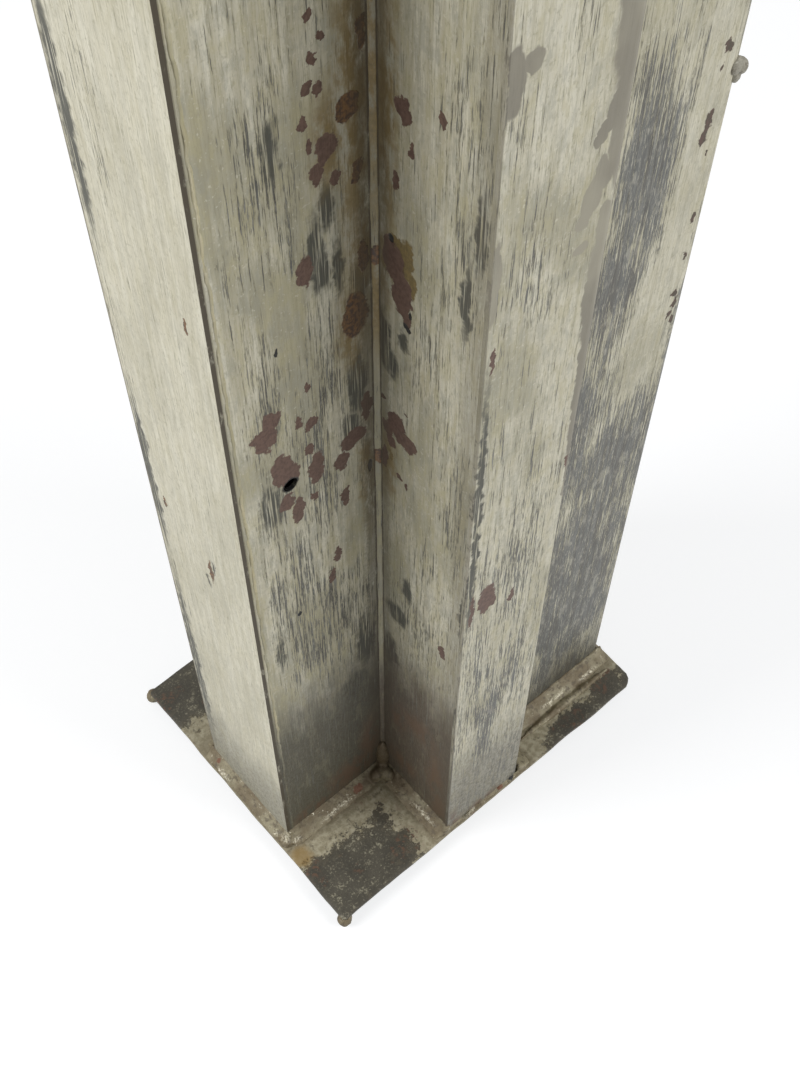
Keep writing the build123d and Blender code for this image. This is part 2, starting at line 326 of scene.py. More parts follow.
# %% Kit: grain and spots
class Finish(Nodes):
    """A material with noise, placed spots and one surface at the end."""

    def grain(self, across, along, detail=2.0, rough=0.5, colour=False):
        """Noise whose marks are about across wide and along tall."""
        self.seed += 17.3
        spread = (1.0 / across, 1.0 / across, 1.0 / along)
        shift = (self.seed, self.seed * 0.37, self.seed * 1.71)
        made = self.node("ShaderNodeTexNoise")
        moved = self.vector("MULTIPLY_ADD", self.place, spread, shift)
        self.feed(moved, made.inputs["Vector"])
        made.inputs["Scale"].default_value = 1.0
        made.inputs["Detail"].default_value = detail
        made.inputs["Roughness"].default_value = rough
        return made.outputs["Color"] if colour else made.outputs["Fac"]

    def ragged(self, size, amount):
        """The place, pushed about by noise, so that a round spot gets a torn outline."""
        wobble = self.grain(size, size, 3.0, 0.6, colour=True)
        centred = self.vector("SUBTRACT", wobble, (0.5, 0.5, 0.5))
        pushed = self.vector("MULTIPLY", centred, (amount, amount, amount * 1.5))
        return self.vector("ADD", self.place, pushed)

    def about(self, layer, weight, base):
        """A value moved up and down by a layer of grain."""
        return self.math("MULTIPLY_ADD", self.math("SUBTRACT", layer, 0.5), weight, base)

    def washed(self, colour, washes):
        """A colour under washes, each (layer of grain, low, high, weight, its colour)."""
        for layer, low, high, weight, over in washes:
            colour = self.blend(self.ease(layer, low, high, weight), colour, over)
        return colour

    def spots(self, places, along_x, where=None, edge=0.1):
        """1 inside any of the spots (across, z, half width, half height), else 0."""
        where = where or self.place
        nearest = None
        for across, height, wide, tall in places:
            if along_x == "plan":
                centre, spread = (across, height, 0.0), (1.0 / wide, 1.0 / tall, 0.0)
            elif along_x:
                centre, spread = (across, 0.0, height), (1.0 / wide, 0.0, 1.0 / tall)
            else:
                centre, spread = (0.0, across, height), (0.0, 1.0 / wide, 1.0 / tall)
            away = self.vector("SUBTRACT", where, centre)
            reach = self.vector("LENGTH", self.vector("MULTIPLY", away, spread))
            nearest = reach if nearest is None else self.math("MINIMUM", nearest, reach)
        return self.ease(nearest, 1.0 + edge, 1.0 - edge)

    def finish(self, colour, roughness, metallic, height, depth):
        """Joins the layers to a shader. depth is the relief in millimetres."""
        shader = self.node("ShaderNodeBsdfPrincipled")
        bump = self.node("ShaderNodeBump")
        out = self.node("ShaderNodeOutputMaterial")
        self.feed(colour, shader.inputs["Base Color"])
        self.feed(roughness, shader.inputs["Roughness"])
        self.feed(metallic, shader.inputs["Metallic"])
        self.feed(height, bump.inputs["Height"])
        bump.inputs["Strength"].default_value = 1.0
        bump.inputs["Distance"].default_value = depth * MM
        self.tree.links.new(bump.outputs[0], shader.inputs["Normal"])
        self.tree.links.new(shader.outputs[0], out.inputs["Surface"])
        print("finish", self.material.name, "has", len(self.tree.nodes), "nodes")
        return self.material


print("finish kit ready")

# %% [markdown]
# ## Scrubbed cream paint
# On the real mast the paint is one thin brushed coat. Brush marks run up and down, the high
# spots have been rubbed to grey metal, and where the coat chipped a red-brown primer shows.
# The coat could be one noise pattern, but then nothing would tell one face from the next.
# Instead the same layers are laid for each face, and each face gets its own list of rubbed
# patches, chips and stains at the places where they sit.

# %% Colours of the layers
CREAM = tint(209, 205, 187)
CREAM_SHADE = tint(192, 187, 166)
OLIVE_WASH = tint(148, 143, 118)
YELLOW_WASH = tint(176, 168, 128)
GREY_WASH = tint(146, 146, 134)
# a dark brown for real dirt, and also the colour of the painted shade along edges and inner corners
DIRT_AND_SHADE = tint(66, 58, 43)
STEEL = tint(104, 104, 99)
STEEL_DARK = tint(66, 66, 61)
STEEL_PALE = tint(158, 157, 148)
WORN_STEELS = (STEEL_DARK, STEEL, STEEL_PALE)
BRUSHED_STEELS = (tint(84, 85, 82), tint(116, 116, 111), tint(176, 173, 158))
RED_BROWN = tint(102, 78, 66)
RED_DARK = tint(82, 60, 50)
BLISTER = tint(116, 84, 48)
BLISTER_DARK = tint(62, 44, 32)
OCHRE = tint(150, 128, 74)
BROWN_STAIN = tint(92, 76, 50)
OVERPAINT = tint(124, 119, 106)
# foot colours: the darker tone towards the plate is partly painted shade, partly grime and heat
FOOT_GREEN = tint(80, 79, 66)
FOOT_BROWN = tint(84, 71, 58)
# near black, for slits and black spots, and for painted shade over the wire hole
NEAR_BLACK = tint(14, 12, 10)
print("colours named")

# %% [markdown]
# ## Grain of a brushed coat
# A bristle brush leaves marks of several sizes at once: hairlines, short dashes, long strokes
# and broad bands. Each is one stretched noise. Every layer could have noise of its own, but
# layers only look like one coat when they share the same grain, so a face's grain is made
# once and every later layer reads it.

# %% The coat's grain
class Coat(Finish):
    """A finish that holds the grain of brushed paint, and its colour and height so far."""

    def __init__(self, name, seed, along_x, start, way):
        super().__init__(name)
        self.seed = seed
        self.along_x = along_x
        self.start = start
        self.way = way
        self.torn = self.ragged(3.2, 4.0)
        self.torn_fine = self.ragged(1.1, 0.8)
        torn_small = self.ragged(2.3, 2.6)
        fine_push = self.vector("SUBTRACT", self.torn_fine, self.place)
        self.torn_both = self.vector("ADD", torn_small, fine_push)
        self.hair = self.grain(0.17, 5, 2, 0.6)
        self.dash = self.grain(0.36, 2.6, 4, 0.7)
        self.brush = self.grain(0.34, 13, 3, 0.6)
        self.broad = self.grain(1.3, 30.0, 2.0)
        self.region = self.grain(7, 20, 4, 0.6)
        self.cloud = self.grain(12.0, 26.0, 3.0)
        self.mottle = self.grain(2.6, 7.5, 5, 0.68)
        self.speck = self.grain(0.7, 0.9, 3, 0.6)

    def measured(self, spots, where, edge):
        """Spots whose places are measured across the face from its starting edge."""
        placed = [(self.start + self.way * across, *rest) for across, *rest in spots]
        return self.spots(placed, self.along_x, where, edge)

    def lay(self, amount, tone, press=0.0, lift=0.0):
        """Lays a colour, which presses what is under it flat and then lifts it."""
        self.colour = self.blend(amount, self.colour, tone)
        if press:
            left = self.math("MULTIPLY_ADD", amount, -press, 1.0)
            self.height = self.math("MULTIPLY", self.height, left)
        if lift:
            self.height = self.math("MULTIPLY_ADD", amount, lift, self.height)


print("coat kit ready")

# %% [markdown]
# ## The cream coat
# One thin coat dries paler where it is thick. Olive, yellow and grey washes follow the brush
# and the blotches, because a single cream colour with bump alone looks like plastic.


# %% Lay the cream
def lay_cream(coat, cream, shade, wash):
    coat.colour = coat.washed(cream, (
        (coat.broad, 0.34, 0.66, 0.75, shade),
        (coat.cloud, 0.42, 0.66, wash, OLIVE_WASH),
        (coat.mottle, 0.50, 0.62, 0.55 * wash, YELLOW_WASH),
        (coat.mottle, 0.50, 0.38, 0.60 * wash, GREY_WASH),
        (coat.brush, 0.48, 0.66, 0.30, OLIVE_WASH),
        (coat.hair, 0.50, 0.66, 0.38, OLIVE_WASH),
        (coat.dash, 0.54, 0.66, 0.45, OLIVE_WASH),
        (coat.speck, 0.56, 0.70, 0.45, OLIVE_WASH),
        (coat.speck, 0.40, 0.30, 0.50, cream),
    ))


print("cream recipe ready")

# %% [markdown]
# ## Rubbed through to steel
# Hands and cleaning took the paint off the ridges of the brush marks first. So the wear is
# one slow field, and the grain is added to it before it is cut: where the sum is high the
# steel is bare. Cutting the noise alone would scatter the same dashes everywhere.


# %% Rub through to the steel
def rub_through(coat, wear, uneven, fade, patches, rub, kept, steels):
    dark, middle, pale = steels
    field = coat.about(coat.region, uneven * 3.2, wear)
    if fade:
        field = coat.math("MULTIPLY_ADD", coat.ease(coat.z, 170.0, 20.0), fade, field)
    if patches:
        field = coat.math("MULTIPLY_ADD", coat.measured(patches, coat.torn, 0.9), rub, field)
    if kept:
        field = coat.math("MULTIPLY_ADD", coat.measured(kept, coat.torn, 0.5), -0.4, field)
    streak = coat.about(coat.hair, 0.9, field)
    streak = coat.about(coat.brush, 1.3, streak)
    streak = coat.about(coat.dash, 1.0, streak)
    metal = coat.washed(dark, (
        (coat.hair, 0.38, 0.66, 1.0, middle),
        (coat.dash, 0.54, 0.68, 0.8, pale),
        (coat.broad, 0.42, 0.62, 0.4, DIRT_AND_SHADE),
        (coat.mottle, 0.52, 0.64, 0.45, pale),
    ))
    coat.bare = coat.ease(streak, 0.42, 0.63)
    coat.colour = coat.blend(coat.ease(streak, 0.30, 0.52, 0.55), coat.colour, OLIVE_WASH)
    coat.colour = coat.blend(coat.bare, coat.colour, metal)
    coat.height = coat.math("SUBTRACT", 1.0, coat.bare)


print("wear recipe ready")

# %% [markdown]
# ## Marks with a place of their own
# Rubs, stains and rust are soft and broken up by the grain. Chips, blisters and slits have a
# torn outline and a height: a chip is sunk, a blister stands up, a slit goes deep. They
# could be painted on a picture, but a list of spots stays sharp at any distance. The black
# over the wire hole is laid as a slit too: it is painted shade on the hole's wall and rim.


# %% Soft marks
def broken(coat, spots, soft, layer, low, high, weight=1.0):
    """Soft spots, broken up by a layer of grain."""
    inside = coat.measured(spots, coat.torn, soft)
    return coat.math("MULTIPLY", inside, coat.ease(layer, low, high, weight))


def rub_and_stain(coat, greys, stains):
    if greys:
        amount = broken(coat, greys, 0.35, coat.brush, 0.34, 0.50)
        coat.lay(amount, coat.blend(coat.hair, STEEL_DARK, FOOT_GREEN), press=0.7)
    if stains:
        amount = broken(coat, stains, 0.7, coat.mottle, 0.32, 0.56, 0.95)
        coat.lay(amount, coat.blend(coat.speck, OCHRE, BROWN_STAIN))


def paint_over(coat, smooth, shade):
    """A second brush-load of greyer paint, smooth over the streaks. Returns where."""
    over = coat.measured(smooth, coat.ragged(4.6, 2.6), 0.09)
    tone = coat.washed(OVERPAINT, ((coat.cloud, 0.42, 0.64, 0.35, shade),))
    coat.lay(coat.math("MULTIPLY", over, 0.93), tone)
    coat.height = coat.math("MAXIMUM", coat.height, coat.math("MULTIPLY", over, 1.4))
    return over


def shade_and_soil_foot(coat, foot, foot_height, foot_weight, shade, rusts):
    """Darker towards the base plate: partly painted shade at the foot, partly handling and heat,
    with brown smears.
    """
    low = coat.about(coat.region, 34.0, coat.z)
    low = coat.about(coat.brush, 26.0, low)
    shade_and_grime = coat.washed(foot, (
        (coat.speck, 0.35, 0.70, 1.0, DIRT_AND_SHADE),
        (coat.brush, 0.55, 0.72, 0.6, STEEL),
        (coat.hair, 0.56, 0.70, 0.25, shade),
        (coat.mottle, 0.54, 0.64, 0.20, OLIVE_WASH),
    ))
    # darker towards the plate: partly painted shade at the foot, partly grime
    coat.lay(coat.ease(low, foot_height + 16.0, foot_height - 18.0, foot_weight), shade_and_grime)
    if rusts:
        amount = broken(coat, rusts, 0.8, coat.mottle, 0.38, 0.52, 0.9)
        coat.lay(amount, coat.blend(coat.speck, RED_BROWN, BROWN_STAIN))


print("soft marks ready")

# %% [markdown]
# Chips, blisters and slits follow the same torn outline, and each has its own height. The
# painted shade along an upright edge and in an inner corner is measured from the edge itself,
# since it runs all the way up.


# %% Torn marks and edges
def tear(coat, ochres, chips, dark_chips, blister, slits_and_hole_shade):
    speck = coat.speck
    if ochres:
        fringe = coat.measured(ochres, coat.torn_both, 0.12)
        coat.lay(fringe, coat.blend(speck, OCHRE, DIRT_AND_SHADE))
    if chips:
        tone = coat.blend(coat.ease(speck, 0.36, 0.66), RED_BROWN, RED_DARK)
        coat.lay(coat.measured(chips, coat.torn_both, 0.07), tone, press=0.8)
    if dark_chips:
        tone = coat.blend(coat.ease(speck, 0.36, 0.62), *blister)
        coat.lay(coat.measured(dark_chips, coat.torn_both, 0.10), tone, lift=0.9)
    if slits_and_hole_shade:
        # near black and sunk: real slits, and painted shade over the wire hole's wall
        coat.lay(coat.measured(slits_and_hole_shade, coat.torn_fine, 0.12), NEAR_BLACK, lift=-3.0)


def shade_edges(coat, shade_lines):
    """Painted shade along upright edges and inner corners, each (its place on the mast, half width,
    weight).
    """
    across = coat.x if coat.along_x else coat.y
    for place, half, weight in shade_lines:
        away = coat.math("ABSOLUTE", coat.math("SUBTRACT", across, place))
        edge = coat.ease(coat.about(coat.speck, half, away), half, half * 0.3, weight)
        # painted shade: a dark line along each edge and in the inner corners, in the dirt colour
        coat.lay(coat.math("MULTIPLY", edge, coat.ease(coat.mottle, 0.26, 0.46)), DIRT_AND_SHADE)


print("torn marks ready")

# %% [markdown]
# ## The whole coat
# The layers go on in the order in which the marks came about, with the painted shade among
# them: cream, wear, stains, overpaint, grime and painted shade at the foot, chips, and last the
# painted shade along the edges and in the inner corners. Each face then needs only its own
# lists. Spots are measured from the face's starting edge, in the way given.


# %% The whole coat
def cream_paint(
    name, along_x, start=0.0, way=1.0, cream=CREAM, shade=CREAM_SHADE, wear=0.16, uneven=0.22,
    patches=(), rub=0.2, fade=0.0, wash=0.45, kept=(), smooth=(), greys=(), chips=(),
    dark_chips=(), ochres=(), slits_and_hole_shade=(), stains=(), rusts=(), foot=None, foot_height=32.0,
    foot_weight=0.9, shade_lines=(), steels=WORN_STEELS, blister=(BLISTER, BLISTER_DARK), seed=0.0,
):
    """Cream paint over steel. Each list holds spots (across, z, half width, half height)."""
    coat = Coat(name, seed, along_x, start, way)
    lay_cream(coat, cream, shade, wash)
    rub_through(coat, wear, uneven, fade, patches, rub, kept, steels)
    rub_and_stain(coat, greys, stains)
    groove = coat.math("MULTIPLY", coat.brush, 0.9)
    if smooth:
        over = paint_over(coat, smooth, shade)
        groove = coat.math("MULTIPLY", groove, coat.math("MULTIPLY_ADD", over, -0.85, 1.0))
    if foot:
        shade_and_soil_foot(coat, foot, foot_height, foot_weight, shade, rusts)
    tear(coat, ochres, chips, dark_chips, blister, slits_and_hole_shade)
    # last the painted shade along the edges and in the inner corners
    shade_edges(coat, shade_lines)
    height = coat.math("MULTIPLY_ADD", coat.hair, 0.35, coat.math("ADD", coat.height, groove))
    rough = coat.math("MULTIPLY_ADD", coat.bare, -0.12, 0.62)
    metallic = coat.math("MULTIPLY", coat.bare, 0.35)
    return coat.finish(coat.colour, rough, metallic, height, 0.06)


print("paint recipe ready")

# %% [markdown]
# ## Left arm, front face
# The face beside the recess has the most history: a row of red-brown chips round the wire
# hole, brown blisters by the soldered corner, and a yellow stain running down that corner.

# %% Left arm front finish
# a solder bead covers this much of each face in an inside corner
BEAD_LEG = 0.85
LEFT_FRONT_CHIPS = [
    (9.4, 176, 2, 2.2), (8, 172.2, 2.4, 3.6), (6, 173.7, 1, 1.4),
    (10.5, 160.8, 2.4, 4.6), (12.2, 157.5, 2, 3.2), (10.8, 150.5, 1.6, 2.4),
    (17.7, 155, 1.7, 4.6), (16.5, 161.5, 1, 1.5), (17.5, 168.3, 1.5, 1.5),
    (15, 170.6, 0.8, 1.6), (16.9, 178.6, 0.6, 1.4), (26, 156, 3, 2.6),
    (23.4, 151.5, 2, 2.4), (29.4, 163, 1.2, 4), (13.3, 145.6, 1.4, 4.2),
    (16.6, 146.5, 0.8, 1.3), (23.8, 139.5, 0.9, 2.8), (21.2, 121.2, 0.9, 2.8),
    (19.6, 115, 0.8, 2.6), (18.4, 205.5, 1.6, 3.2), (23.5, 227, 2, 2.6),
    (21.6, 223.2, 1.1, 2.4), (19.6, 233.5, 0.6, 1.4), (20.3, 229, 0.7, 1.8),
    (21.5, 250.2, 0.8, 1), (23.2, 246, 0.7, 0.9), (21.9, 243.2, 1, 1.2),
    (20.8, 239.1, 0.7, 1.2), (22.6, 237.9, 1, 1.1), (24.6, 220.5, 0.8, 1.2),
]
LEFT_FRONT_BLISTERS = [
    (27.4, 188.5, 2.6, 5.4), (27.3, 232, 2, 2.4), (28.6, 219.5, 1.1, 2.4),
    (29.5, 201, 1.2, 3.4), (30, 243, 0.9, 3),
]
LEFT_FRONT_RUSTS = [(22, 14, 8, 7), (28, 24, 3.4, 12), (9, 9, 6, 3.4)]
LEFT_FRONT_GREYS = [
    (20.6, 210, 1.4, 6), (22.8, 216, 1.5, 5), (27.6, 171, 2, 9.5),
    (26, 158.5, 2.2, 5), (28.4, 196, 1.5, 5), (7.4, 152, 2.4, 6),
    (21.5, 204, 1.8, 5), (24.5, 201, 1.2, 6), (27.4, 78, 2.6, 12),
    (24, 60, 3.6, 7), (5.4, 98, 1, 7), (14, 232, 1.6, 5),
]
LEFT_FRONT_PATCHES = [
    (9, 150, 4.5, 11), (12, 225, 5, 16), (19, 150, 9, 22),
    (15, 112, 13, 26),
    (10, 180, 3, 12), (20, 95, 9, 26), (22, 175, 5, 20),
]
LEFT_FRONT_STAINS = [
    (28.6, 232, 3.4, 34), (27, 186, 3.4, 10), (24, 228, 3, 9),
    (29.4, 142, 1.8, 16), (29.6, 205, 2.2, 14), (30.2, 330, 2.4, 60),
]
# painted shade: black laid over the wire hole's wall and a thin ring round its rim
WIRE_HOLE_SHADE = (12, 155, 1.8, 1.8)
LEFT_FRONT_SLITS_AND_HOLE_SHADE = [
    (11.8, 191.7, 0.3, 0.9), (29.8, 144, 0.5, 2), (11, 109.5, 0.5, 0.9), WIRE_HOLE_SHADE,
]
LEFT_FRONT_KEPT = [(2.4, 160, 1.4, 160), (24, 126, 5, 10), (15, 198, 3, 8)]

left_front_paint = cream_paint(
    "left_arm_front_paint", True, X_STRIP, wear=0.22, uneven=0.24,
    shade=tint(172, 166, 142), wash=0.7,
    patches=LEFT_FRONT_PATCHES, kept=LEFT_FRONT_KEPT,
    greys=LEFT_FRONT_GREYS, chips=LEFT_FRONT_CHIPS,
    dark_chips=LEFT_FRONT_BLISTERS, stains=LEFT_FRONT_STAINS,
    slits_and_hole_shade=LEFT_FRONT_SLITS_AND_HOLE_SHADE, rusts=LEFT_FRONT_RUSTS,
    # The foot layer reaches high and dark here: partly painted shade at the bottom of the recess.
    foot=FOOT_GREEN, foot_height=70.0, foot_weight=0.97,
    # These lines are painted shade: the strip's shadow beside its edge, a dark line along the
    # corner bead and a wide band of shade in the recess corner.
    shade_lines=[
        (X_STRIP + 0.9, 0.3, 0.5), (X_CORNER - BEAD_LEG, 0.45, 0.85), (X_CORNER - 1.0, 3.8, 0.6),
    ],
    seed=3.0,
)

# %% [markdown]
# ## Front arm, left face
# One large chip here has an ochre fringe and two black tears, and a smaller pair sits lower
# by the corner. The bottom of this face is darker, partly from painted shade, and brown where
# the solder's heat reached it.


# %% Front arm left finish
CROSS_LEFT_CHIPS = [
    (4.4, 201.5, 2.6, 4.2), (6.2, 195.5, 2.4, 4.6), (7.4, 190.8, 1, 2.2),
    (3.4, 204.5, 1, 2), (5, 160, 2.2, 3.6), (7.4, 157.2, 3, 2.4),
    (2.6, 157, 1.4, 2.2), (3.6, 153.8, 1.4, 1.8), (1.8, 147.2, 0.9, 3.4),
    (1.4, 165, 0.7, 0.7), (7.8, 165.2, 0.6, 0.6), (5.6, 144.8, 0.8, 1.2),
    (7.8, 143.6, 0.6, 0.9), (19.6, 95, 1, 2.6), (4.9, 219, 0.8, 1.6),
    (6.4, 233, 1.6, 2.6), (8, 227, 0.6, 1.6), (14, 237, 0.6, 1.4),
]
CROSS_LEFT_OCHRES = [
    (7.4, 204, 1.5, 4.6), (8.6, 199.5, 0.9, 3), (5.2, 206, 1.6, 1.8),
    (3.6, 149, 0.5, 1.6),
]
CROSS_LEFT_GREYS = [
    (1.6, 182, 1.6, 6.4), (3.4, 176, 2.4, 3.6), (6.6, 185, 1.2, 2.2),
    (5.4, 92, 3.6, 4), (8.4, 106, 1.4, 4), (22.6, 222, 1.2, 8),
    (24.4, 116, 0.8, 8), (20.4, 206, 1, 8), (3, 72, 2.4, 8),
]
CROSS_LEFT_PATCHES = [
    (20, 226, 5, 20), (20, 150, 4, 20), (14, 100, 8, 22),
    (12, 186, 3, 12),
]
CROSS_LEFT_SLITS = [
    (3.7, 206.4, 0.6, 0.9), (8.2, 192.4, 0.35, 0.9), (7.2, 189, 0.7, 0.7),
    (7.9, 188.4, 0.6, 0.5),
]
CROSS_LEFT_STAINS = [
    (2.6, 228, 2.4, 24), (2.6, 146, 2.2, 10), (2.2, 200, 1.6, 10), (1.8, 330, 1.8, 60),
]
CROSS_LEFT_RUSTS = [
    (13, 46, 6, 5), (6, 40, 2.4, 5), (19.6, 30, 3, 12), (21.5, 14, 2.4, 8),
    (8, 18, 5, 4),
]

cross_left_paint = cream_paint(
    "front_arm_left_paint", False, -Y_ARM, -1.0, wear=0.19, uneven=0.22,
    shade=tint(176, 169, 144), wash=0.7,
    patches=CROSS_LEFT_PATCHES, greys=CROSS_LEFT_GREYS,
    chips=CROSS_LEFT_CHIPS, rusts=CROSS_LEFT_RUSTS,
    ochres=CROSS_LEFT_OCHRES, slits_and_hole_shade=CROSS_LEFT_SLITS,
    # The foot layer here is partly painted shade at the bottom of the recess.
    stains=CROSS_LEFT_STAINS, foot=FOOT_BROWN, foot_height=74.0, foot_weight=0.96,
    # These lines are painted shade: a dark line along the corner bead, a wide band of shade in the
    # recess corner, and a line and a band of shade at the front edge.
    shade_lines=[
        (-Y_ARM - BEAD_LEG, 0.45, 0.85), (-Y_ARM - 1.0, 3.2, 0.52), (-Y_CROSS, 0.4, 0.4),
        (-Y_CROSS, 7.0, 0.40),
    ],
    seed=5.0,
)

# %% [markdown]
# ## End strip
# The strip that closes the left arm has been handled least. Its paint is palest, with short
# fine scratches and a grey rub down each upright edge, and painted shade along both edges.


# %% End strip finish
STRIP_CHIPS = [(5.3, 203, 0.5, 2), (12.4, 122, 0.7, 4.4), (25.4, 131.5, 0.5, 2.4)]
STRIP_GREYS = [
    (28.8, 138, 1.4, 26), (28.6, 60, 1.6, 40), (14, 116.5, 0.7, 2),
    (28, 228, 1.6, 24), (11, 125, 0.5, 2.4),
]
end_strip_paint = cream_paint(
    "end_strip_paint", False, -Y_ARM, wear=0.08, uneven=0.16, wash=0.28, patches=[
        (29, 180, 1.8, 180), (26, 50, 4, 34), (22, 235, 4, 20),
    ],
    greys=STRIP_GREYS, dark_chips=STRIP_CHIPS,
    foot=tint(118, 116, 101), foot_height=34.0, foot_weight=0.7,
    # These lines are painted shade along the strip's two upright edges.
    shade_lines=[(Y_ARM, 0.4, 0.5), (-Y_ARM - 0.2, 0.10, 1.0)], seed=7.0,
)

# %% [markdown]
# ## Front arm end
# The end of the front arm is folded round to meet the right box. Cream with dark streaks,
# and along the rounded fold a greyer paint was dabbed on later, in leaf-shaped strokes.


# %% Front arm end finish
CROSS_FRONT_SMOOTH = [
    (24.8, 256, 6.6, 25), (24.8, 228, 3.8, 11), (22.4, 235, 3.2, 3.4),
    (20, 232, 2.2, 1.8), (18.8, 230.2, 1.5, 1.5), (21.2, 233.6, 1.6, 1.4),
    (18.6, 219, 2, 4), (20.2, 222.5, 1.8, 3.4), (17.6, 215.4, 1.5, 2.2),
    (22, 212, 1.5, 4.4), (18, 209, 1.4, 1.4), (23.6, 198, 3.4, 17),
    (23.8, 172, 2.4, 22), (1.2, 250, 1.5, 6), (3.8, 252, 1.8, 1.8),
    (0.6, 214, 1, 9), (24.2, 145, 1.2, 16), (24.4, 320, 3.4, 60),
]
CROSS_FRONT_PATCHES = [
    (3.4, 190, 1.8, 18), (4, 110, 3, 36), (13, 140, 4.5, 34),
    (17, 90, 4, 24), (10, 60, 4, 20), (20, 165, 2.6, 20),
    (7.6, 220, 2.4, 14),
]
CROSS_FRONT_CHIPS = [
    (5.6, 119, 2.2, 5.4), (12.6, 113, 0.8, 2.4), (1.8, 118, 0.6, 6),
    (1.4, 196, 0.5, 3), (7.4, 116, 0.8, 2), (22.6, 150, 0.5, 2),
]
cross_front_paint = cream_paint(
    "front_arm_end_paint", True, X_CORNER, wear=0.18, uneven=0.28, fade=0.21, wash=0.65,
    patches=CROSS_FRONT_PATCHES, smooth=CROSS_FRONT_SMOOTH,
    chips=CROSS_FRONT_CHIPS,
    greys=[(1, 150, 1, 40), (24.2, 150, 1, 12)],
    foot=tint(120, 118, 109), foot_height=40.0, foot_weight=0.7,
    rusts=[(1.6, 8, 2.4, 6), (12, 6, 4, 2.4)],
    # These lines are painted shade along the two folded edges of the arm's end.
    shade_lines=[(X_CORNER - 0.1, 0.3, 0.55), (X_STEP - 0.9, 0.6, 0.8)], seed=9.0,
)

# %% [markdown]
# ## Right box
# The front of the right box has been rubbed to brushed steel over most of its width, with
# paint left in the grooves and a cream band towards its far edge.


# %% Right box finish
BOX_PATCHES = [
    (21, 198, 8, 22), (17, 170, 7, 22), (12, 130, 8, 30),
    (24, 60, 15, 60), (38.9, 90, 1.2, 90), (24, 186, 4, 16),
    (8, 90, 8, 50), (28, 110, 10, 20),
]
BOX_KEPT = [(33.5, 190, 4, 34), (30, 150, 4, 16), (5, 180, 2, 18)]
BOX_CHIPS = [
    (34.6, 199.5, 0.9, 2.8), (33.8, 196.5, 0.8, 1.8), (35.3, 215, 0.8, 1.8),
    (34.8, 211, 0.4, 0.8), (36.6, 176, 0.6, 1.4), (36.8, 166, 0.5, 1.4),
    (36.2, 156, 0.9, 0.9), (36.8, 153, 0.5, 1.8), (36, 150, 0.7, 0.8),
    (37.1, 147.4, 0.6, 1.2), (35.9, 192, 0.4, 0.8),
]
box_front_paint = cream_paint(
    "right_box_front_paint", True, X_STEP, wear=0.24, uneven=0.34, rub=0.50, fade=0.10,
    steels=BRUSHED_STEELS, blister=(RED_DARK, DIRT_AND_SHADE), patches=BOX_PATCHES,
    kept=BOX_KEPT, dark_chips=BOX_CHIPS, foot=STEEL_DARK,
    foot_height=14.0, seed=11.0,
)

# %% [markdown]
# ## Faces behind
# The back of the mast was built and painted the same way, with wear of its own. These faces
# get the same layers, other seeds and a few chips each, so that no two faces match.

# %% Finishes of the rear faces
rear_left_paint = cream_paint(
    "left_arm_rear_paint", True, X_STRIP, wear=0.20, uneven=0.24, seed=23.0,
    patches=[(10, 90, 7, 40), (22, 260, 6, 50)],
    chips=[(24, 131, 2.4, 4.6), (21, 126, 1.2, 2.2), (8, 236, 1.6, 3.8)],
    greys=[(28, 180, 1.6, 18), (27, 320, 2, 12)],
    # The line is painted shade beside the end strip's edge.
    foot=FOOT_GREEN, foot_height=30.0, shade_lines=[(X_STRIP + 1.0, 0.5, 0.9)],
)
rear_cross_left_paint = cream_paint(
    "rear_arm_left_paint", False, wear=0.20, uneven=0.22, seed=29.0,
    patches=[(26, 120, 7, 40), (33, 300, 5, 50)],
    chips=[(20, 210, 2, 4), (22.4, 205, 1, 2.4), (35, 96, 1.4, 3)],
    stains=[(17, 240, 1.6, 26)], foot=FOOT_BROWN, foot_height=40.0,
)
rear_cross_paint = cream_paint(
    "rear_arm_end_paint", True, X_CORNER, wear=0.18, uneven=0.20, seed=31.0,
    patches=[(6, 120, 4, 50), (17, 280, 5, 60)],
    smooth=[(23, 160, 2, 22), (19, 210, 2.2, 5)],
    chips=[(8, 187, 1.4, 3), (14, 91, 1.8, 4)],
    foot=FOOT_GREEN, foot_height=8.0,
)
rear_box_paint = cream_paint(
    "right_box_rear_paint", True, X_STEP, wear=0.30, uneven=0.22, seed=37.0,
    patches=[
        (18, 150, 11, 60), (26, 60, 12, 50), (16, 320, 9, 50),
        (38.6, 200, 1.5, 200),
    ],
    kept=[(34, 210, 3, 60)],
    dark_chips=[(35, 140, 0.8, 2), (34.4, 260, 0.7, 1.6)],
    foot=STEEL_DARK, foot_height=14.0,
)
cap_paint = cream_paint(
    "top_cap_paint", True, wear=0.26, uneven=0.24, seed=41.0,
)

# %% [markdown]
# ## Base plate steel
# The plate is dark oxidised steel. Where the flux ran out from the solder it dried to a
# beige crust that has cracked and flaked, and the open corners carry pale flecks.


